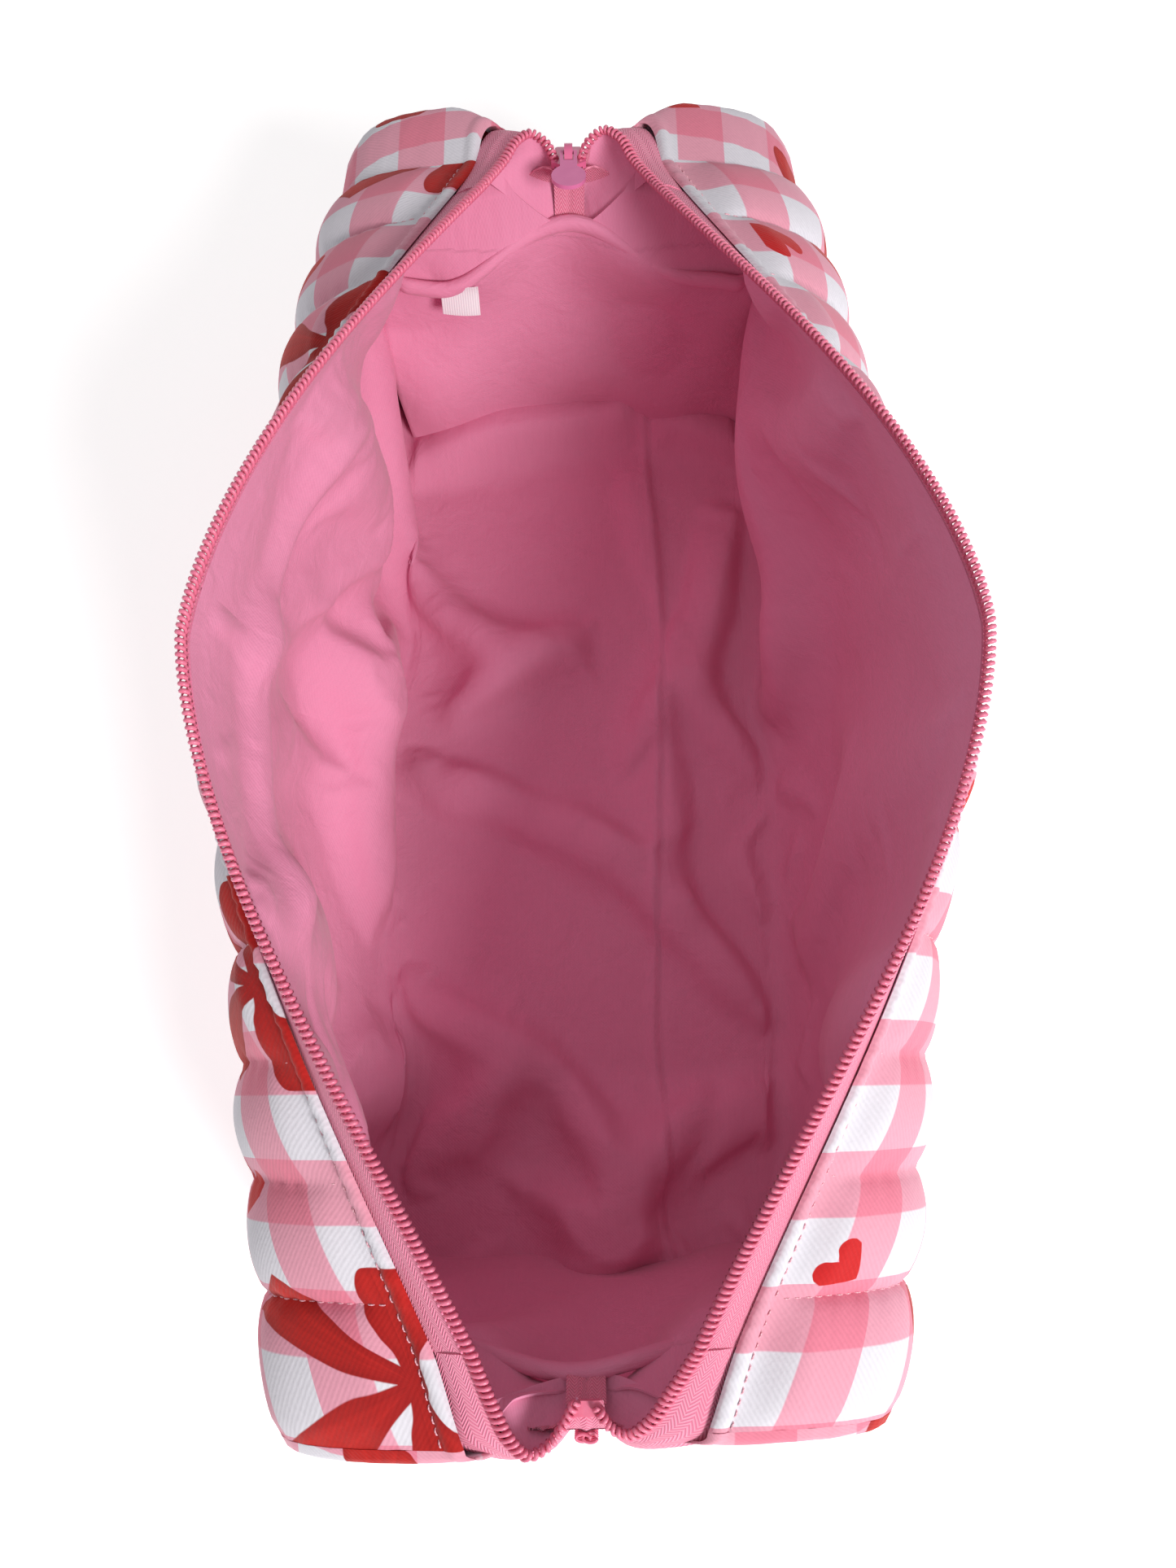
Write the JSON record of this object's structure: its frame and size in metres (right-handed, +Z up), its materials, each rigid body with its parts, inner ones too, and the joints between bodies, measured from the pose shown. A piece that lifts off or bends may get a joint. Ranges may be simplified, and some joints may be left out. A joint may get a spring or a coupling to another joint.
{
  "type": "zip makeup bag",
  "caption": "Quilted, padded box-shaped makeup bag with a full-length top zip, standing on its base with the mouth wide open.",
  "frame": {"origin": "middle of the bag's footprint, on the surface it stands on", "axes": "+Y along the zip from the closed end of the mouth towards the end where the slider parks, +X to the right of that, +Z up"},
  "size_m": [0.1778, 0.323, 0.1504],
  "materials": {
    "printed_twill": "cotton twill with a woven-look print",
    "wadding": "polyester wadding",
    "lining_cloth": "plain-weave cotton",
    "zip_tape": "woven polyester tape",
    "zip_coil": "nylon coil",
    "seam_binding": "folded cotton binding",
    "label": "satin ribbon",
    "slider_enamel": "gloss enamel",
    "pull_enamel": "gloss enamel"
  },
  "bodies": {
    "bag_body": {"base_printed_panel": "printed_twill", "base_wadding": "wadding", "base_lining": "lining_cloth", "far_end_lining": "lining_cloth", "far_end_wadding": "wadding", "far_end_printed_panel": "printed_twill", "far_end_seam_binding": "seam_binding", "near_end_lining": "lining_cloth", "near_end_wadding": "wadding", "near_end_printed_panel": "printed_twill", "near_end_seam_binding": "seam_binding", "care_label": "label", "far_chain_end": "zip_coil", "near_chain_end": "zip_coil", "zip_stop": "zip_coil", "left_printed_side": "printed_twill", "left_lining_side": "lining_cloth", "left_zip_tape": "zip_tape", "left_zip_coil": "zip_coil", "right_printed_side": "printed_twill", "right_lining_side": "lining_cloth", "right_zip_tape": "zip_tape", "right_zip_coil": "zip_coil"},
    "slider": {"slider_body": "slider_enamel", "slider_crown": "slider_enamel"},
    "pull": {"zip_pull": "pull_enamel"},
    "left_channel_01": {"left_wadding_channel_01": "wadding"},
    "left_channel_02": {"left_wadding_channel_02": "wadding"},
    "left_channel_03": {"left_wadding_channel_03": "wadding"},
    "left_channel_04": {"left_wadding_channel_04": "wadding"},
    "left_channel_05": {"left_wadding_channel_05": "wadding"},
    "left_channel_06": {"left_wadding_channel_06": "wadding"},
    "left_channel_07": {"left_wadding_channel_07": "wadding"},
    "left_channel_08": {"left_wadding_channel_08": "wadding"},
    "left_channel_09": {"left_wadding_channel_09": "wadding"},
    "left_channel_10": {"left_wadding_channel_10": "wadding"},
    "left_channel_11": {"left_wadding_channel_11": "wadding"},
    "left_channel_12": {"left_wadding_channel_12": "wadding"},
    "left_channel_13": {"left_wadding_channel_13": "wadding"},
    "right_channel_01": {"right_wadding_channel_01": "wadding"},
    "right_channel_02": {"right_wadding_channel_02": "wadding"},
    "right_channel_03": {"right_wadding_channel_03": "wadding"},
    "right_channel_04": {"right_wadding_channel_04": "wadding"},
    "right_channel_05": {"right_wadding_channel_05": "wadding"},
    "right_channel_06": {"right_wadding_channel_06": "wadding"},
    "right_channel_07": {"right_wadding_channel_07": "wadding"},
    "right_channel_08": {"right_wadding_channel_08": "wadding"},
    "right_channel_09": {"right_wadding_channel_09": "wadding"},
    "right_channel_10": {"right_wadding_channel_10": "wadding"},
    "right_channel_11": {"right_wadding_channel_11": "wadding"},
    "right_channel_12": {"right_wadding_channel_12": "wadding"},
    "right_channel_13": {"right_wadding_channel_13": "wadding"}
  },
  "joints": [
    {"name": "zip_travel", "type": "hinge", "parent": "bag_body", "child": "slider", "pos_m": [0, 0, -0.24876], "axis": [1, 0, 0], "range_deg": [0, 45.04], "deforming": ["left_printed_side", "left_lining_side", "left_zip_tape", "left_zip_coil", "right_printed_side", "right_lining_side", "right_zip_tape", "right_zip_coil"]},
    {"name": "pull_swing", "type": "hinge", "parent": "slider", "child": "pull", "pos_m": [0, 0.15638, 0.10766], "axis": [1, 0, 0], "range_deg": [-150, 0]},
    {"name": "left_fold_01", "type": "hinge", "parent": "bag_body", "child": "left_channel_01", "pos_m": [-0.064, 0, 0.0039], "axis": [0, 1, 0], "range_deg": [0, 11.1]},
    {"name": "left_fold_02", "type": "hinge", "parent": "bag_body", "child": "left_channel_02", "pos_m": [-0.064, 0, 0.0039], "axis": [0, 1, 0], "range_deg": [0, 15.83]},
    {"name": "left_fold_03", "type": "hinge", "parent": "bag_body", "child": "left_channel_03", "pos_m": [-0.064, 0, 0.0039], "axis": [0, 1, 0], "range_deg": [0, 20.56]},
    {"name": "left_fold_04", "type": "hinge", "parent": "bag_body", "child": "left_channel_04", "pos_m": [-0.064, 0, 0.0039], "axis": [0, 1, 0], "range_deg": [0, 24.91]},
    {"name": "left_fold_05", "type": "hinge", "parent": "bag_body", "child": "left_channel_05", "pos_m": [-0.064, 0, 0.0039], "axis": [0, 1, 0], "range_deg": [0, 28.5]},
    {"name": "left_fold_06", "type": "hinge", "parent": "bag_body", "child": "left_channel_06", "pos_m": [-0.064, 0, 0.0039], "axis": [0, 1, 0], "range_deg": [0, 30.94]},
    {"name": "left_fold_07", "type": "hinge", "parent": "bag_body", "child": "left_channel_07", "pos_m": [-0.064, 0, 0.0039], "axis": [0, 1, 0], "range_deg": [0, 31.84]},
    {"name": "left_fold_08", "type": "hinge", "parent": "bag_body", "child": "left_channel_08", "pos_m": [-0.064, 0, 0.0039], "axis": [0, 1, 0], "range_deg": [0, 30.94]},
    {"name": "left_fold_09", "type": "hinge", "parent": "bag_body", "child": "left_channel_09", "pos_m": [-0.064, 0, 0.0039], "axis": [0, 1, 0], "range_deg": [0, 28.5]},
    {"name": "left_fold_10", "type": "hinge", "parent": "bag_body", "child": "left_channel_10", "pos_m": [-0.064, 0, 0.0039], "axis": [0, 1, 0], "range_deg": [0, 24.91]},
    {"name": "left_fold_11", "type": "hinge", "parent": "bag_body", "child": "left_channel_11", "pos_m": [-0.064, 0, 0.0039], "axis": [0, 1, 0], "range_deg": [0, 20.56]},
    {"name": "left_fold_12", "type": "hinge", "parent": "bag_body", "child": "left_channel_12", "pos_m": [-0.064, 0, 0.0039], "axis": [0, 1, 0], "range_deg": [0, 15.83]},
    {"name": "left_fold_13", "type": "hinge", "parent": "bag_body", "child": "left_channel_13", "pos_m": [-0.064, 0, 0.0039], "axis": [0, 1, 0], "range_deg": [0, 11.1]},
    {"name": "right_fold_01", "type": "hinge", "parent": "bag_body", "child": "right_channel_01", "pos_m": [0.064, 0, 0.0039], "axis": [0, 1, 0], "range_deg": [-11.1, 0]},
    {"name": "right_fold_02", "type": "hinge", "parent": "bag_body", "child": "right_channel_02", "pos_m": [0.064, 0, 0.0039], "axis": [0, 1, 0], "range_deg": [-15.83, 0]},
    {"name": "right_fold_03", "type": "hinge", "parent": "bag_body", "child": "right_channel_03", "pos_m": [0.064, 0, 0.0039], "axis": [0, 1, 0], "range_deg": [-20.56, 0]},
    {"name": "right_fold_04", "type": "hinge", "parent": "bag_body", "child": "right_channel_04", "pos_m": [0.064, 0, 0.0039], "axis": [0, 1, 0], "range_deg": [-24.91, 0]},
    {"name": "right_fold_05", "type": "hinge", "parent": "bag_body", "child": "right_channel_05", "pos_m": [0.064, 0, 0.0039], "axis": [0, 1, 0], "range_deg": [-28.5, 0]},
    {"name": "right_fold_06", "type": "hinge", "parent": "bag_body", "child": "right_channel_06", "pos_m": [0.064, 0, 0.0039], "axis": [0, 1, 0], "range_deg": [-30.94, 0]},
    {"name": "right_fold_07", "type": "hinge", "parent": "bag_body", "child": "right_channel_07", "pos_m": [0.064, 0, 0.0039], "axis": [0, 1, 0], "range_deg": [-31.84, 0]},
    {"name": "right_fold_08", "type": "hinge", "parent": "bag_body", "child": "right_channel_08", "pos_m": [0.064, 0, 0.0039], "axis": [0, 1, 0], "range_deg": [-30.94, 0]},
    {"name": "right_fold_09", "type": "hinge", "parent": "bag_body", "child": "right_channel_09", "pos_m": [0.064, 0, 0.0039], "axis": [0, 1, 0], "range_deg": [-28.5, 0]},
    {"name": "right_fold_10", "type": "hinge", "parent": "bag_body", "child": "right_channel_10", "pos_m": [0.064, 0, 0.0039], "axis": [0, 1, 0], "range_deg": [-24.91, 0]},
    {"name": "right_fold_11", "type": "hinge", "parent": "bag_body", "child": "right_channel_11", "pos_m": [0.064, 0, 0.0039], "axis": [0, 1, 0], "range_deg": [-20.56, 0]},
    {"name": "right_fold_12", "type": "hinge", "parent": "bag_body", "child": "right_channel_12", "pos_m": [0.064, 0, 0.0039], "axis": [0, 1, 0], "range_deg": [-15.83, 0]},
    {"name": "right_fold_13", "type": "hinge", "parent": "bag_body", "child": "right_channel_13", "pos_m": [0.064, 0, 0.0039], "axis": [0, 1, 0], "range_deg": [-11.1, 0]}
  ],
  "couplings": [
    {"joint": "left_fold_01", "follows": "zip_travel", "ratio": 0.24603},
    {"joint": "left_fold_02", "follows": "zip_travel", "ratio": 0.3509},
    {"joint": "left_fold_03", "follows": "zip_travel", "ratio": 0.45596},
    {"joint": "left_fold_04", "follows": "zip_travel", "ratio": 0.55261},
    {"joint": "left_fold_05", "follows": "zip_travel", "ratio": 0.63227},
    {"joint": "left_fold_06", "follows": "zip_travel", "ratio": 0.68637},
    {"joint": "left_fold_07", "follows": "zip_travel", "ratio": 0.70631},
    {"joint": "left_fold_08", "follows": "zip_travel", "ratio": 0.68637},
    {"joint": "left_fold_09", "follows": "zip_travel", "ratio": 0.63227},
    {"joint": "left_fold_10", "follows": "zip_travel", "ratio": 0.55261},
    {"joint": "left_fold_11", "follows": "zip_travel", "ratio": 0.45596},
    {"joint": "left_fold_12", "follows": "zip_travel", "ratio": 0.3509},
    {"joint": "left_fold_13", "follows": "zip_travel", "ratio": 0.24603},
    {"joint": "right_fold_01", "follows": "zip_travel", "ratio": -0.24603},
    {"joint": "right_fold_02", "follows": "zip_travel", "ratio": -0.3509},
    {"joint": "right_fold_03", "follows": "zip_travel", "ratio": -0.45596},
    {"joint": "right_fold_04", "follows": "zip_travel", "ratio": -0.55261},
    {"joint": "right_fold_05", "follows": "zip_travel", "ratio": -0.63227},
    {"joint": "right_fold_06", "follows": "zip_travel", "ratio": -0.68637},
    {"joint": "right_fold_07", "follows": "zip_travel", "ratio": -0.70631},
    {"joint": "right_fold_08", "follows": "zip_travel", "ratio": -0.68637},
    {"joint": "right_fold_09", "follows": "zip_travel", "ratio": -0.63227},
    {"joint": "right_fold_10", "follows": "zip_travel", "ratio": -0.55261},
    {"joint": "right_fold_11", "follows": "zip_travel", "ratio": -0.45596},
    {"joint": "right_fold_12", "follows": "zip_travel", "ratio": -0.3509},
    {"joint": "right_fold_13", "follows": "zip_travel", "ratio": -0.24603}
  ]
}
